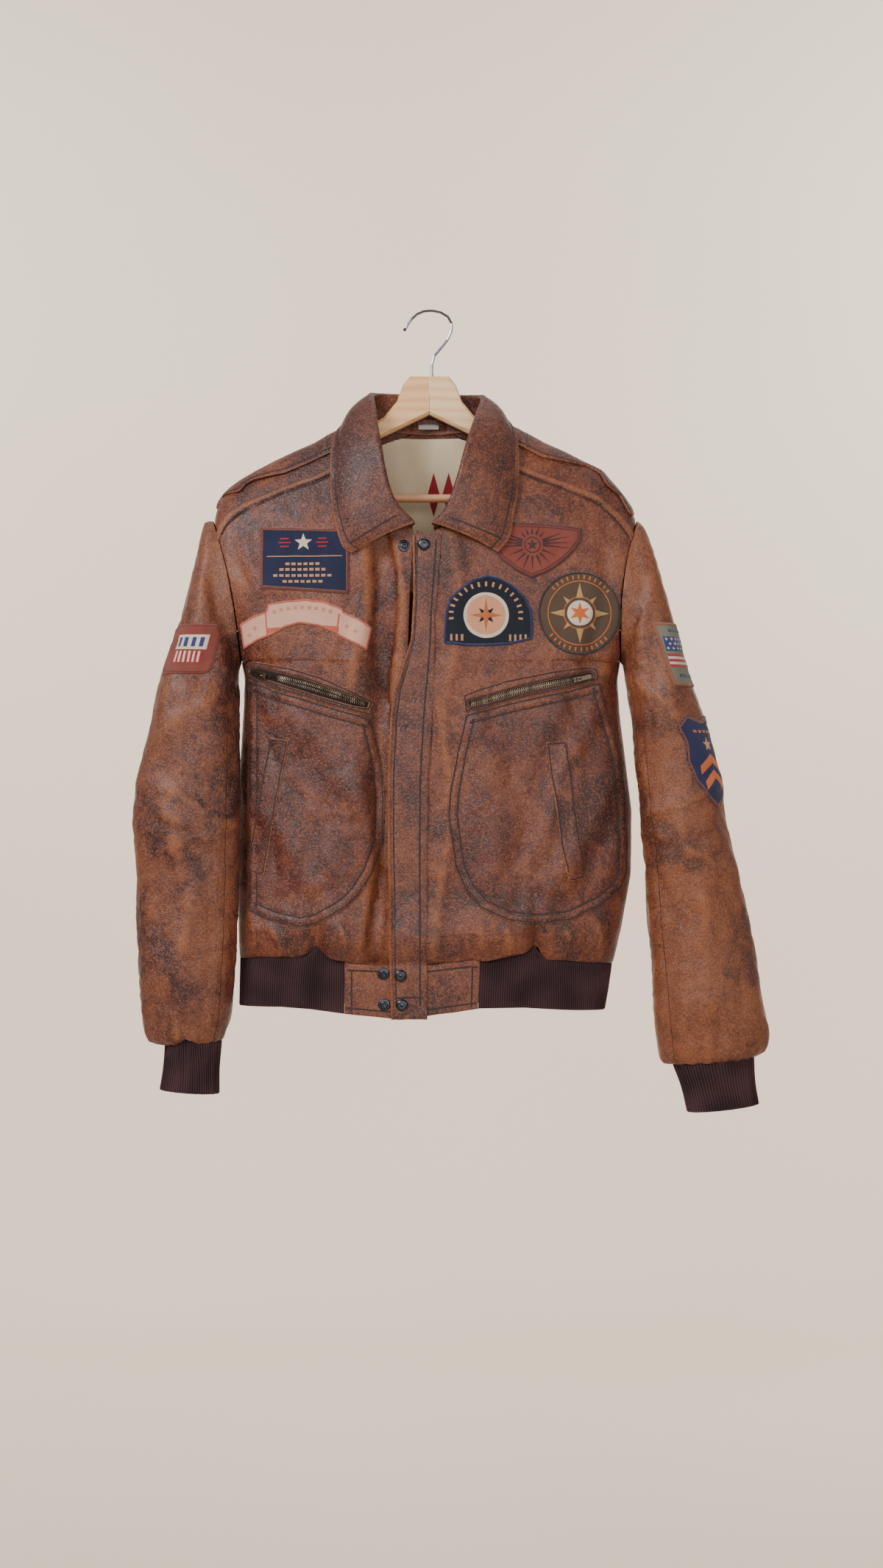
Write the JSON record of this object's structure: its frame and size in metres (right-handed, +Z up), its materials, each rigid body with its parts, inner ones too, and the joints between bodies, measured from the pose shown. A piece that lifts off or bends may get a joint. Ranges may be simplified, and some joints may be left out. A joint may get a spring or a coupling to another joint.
{
  "type": "leather jacket on a wooden hanger",
  "caption": "Worn brown leather flight jacket with knit cuffs and waistband, embroidered patches and zip pockets, hung open-collared on a wooden hanger with a wire hook.",
  "frame": {"origin": "underside of the hook's wire at the top of its curve, where it rests on a nail", "axes": "+Z up, +Y from the jacket's front to its back, +X towards the wearer's left"},
  "size_m": [0.748, 0.1347, 0.9502],
  "materials": {
    "leather": "worn, crinkled, satin",
    "knit": "ribbed knit, matte",
    "lining": "plain weave, matte",
    "label": "woven, bare",
    "wood": "clear lacquer",
    "hook": "polished",
    "zip": "dark bronze, worn",
    "snap": "gunmetal",
    "patch_navy": "embroidered",
    "patch_pink": "embroidered",
    "patch_brick": "embroidered",
    "patch_brown": "embroidered",
    "patch_grey": "embroidered"
  },
  "bodies": {
    "jacket": {"back": "leather", "collar": "leather", "cuff_left": "knit", "cuff_right": "knit", "epaulette_left": "leather", "epaulette_right": "leather", "front_flap": "leather", "front_left": "leather", "front_right": "leather", "hanger_bar": "wood", "hanger_board_left": "wood", "hanger_board_right": "wood", "hanger_loop": "leather", "hook": "hook", "label": "label", "lining": "lining", "patch_arch": "patch_navy", "patch_chest_panel": "patch_navy", "patch_chest_scroll": "patch_pink", "patch_disc": "patch_brown", "patch_sleeve_shield": "patch_navy", "patch_sleeve_square": "patch_brick", "patch_sleeve_stripes": "patch_grey", "patch_wing": "patch_brick", "pocket_left": "leather", "pocket_right": "leather", "sleeve_top_left": "leather", "sleeve_top_right": "leather", "sleeve_under_left": "leather", "sleeve_under_right": "leather", "snap_cap_top": "snap", "snap_cap_waist_lower": "snap", "snap_cap_waist_upper": "snap", "snap_socket_top": "snap", "snap_socket_waist_lower": "snap", "snap_socket_waist_upper": "snap", "waist_rib": "knit", "waist_tab_left": "leather", "waist_tab_right": "leather", "welt_left": "leather", "welt_right": "leather", "yoke_left": "leather", "yoke_right": "leather", "zip_chain_left": "zip", "zip_chain_right": "zip", "zip_frame_left": "leather", "zip_frame_right": "leather", "zip_slider_left": "zip", "zip_slider_right": "zip"},
    "pull_right": {"zip_pull_right": "zip"},
    "pull_left": {"zip_pull_left": "zip"}
  },
  "joints": [
    {"name": "zip_pull_right_swing", "type": "hinge", "parent": "jacket", "child": "pull_right", "pos_m": [-0.19615, -0.05169, -0.43486], "axis": [0.1443, -0.1685, 0.9751], "range_deg": [0, 150]},
    {"name": "zip_pull_left_swing", "type": "hinge", "parent": "jacket", "child": "pull_left", "pos_m": [0.17252, -0.06171, -0.44028], "axis": [0.2091, 0.1065, -0.9721], "range_deg": [0, 150]}
  ]
}
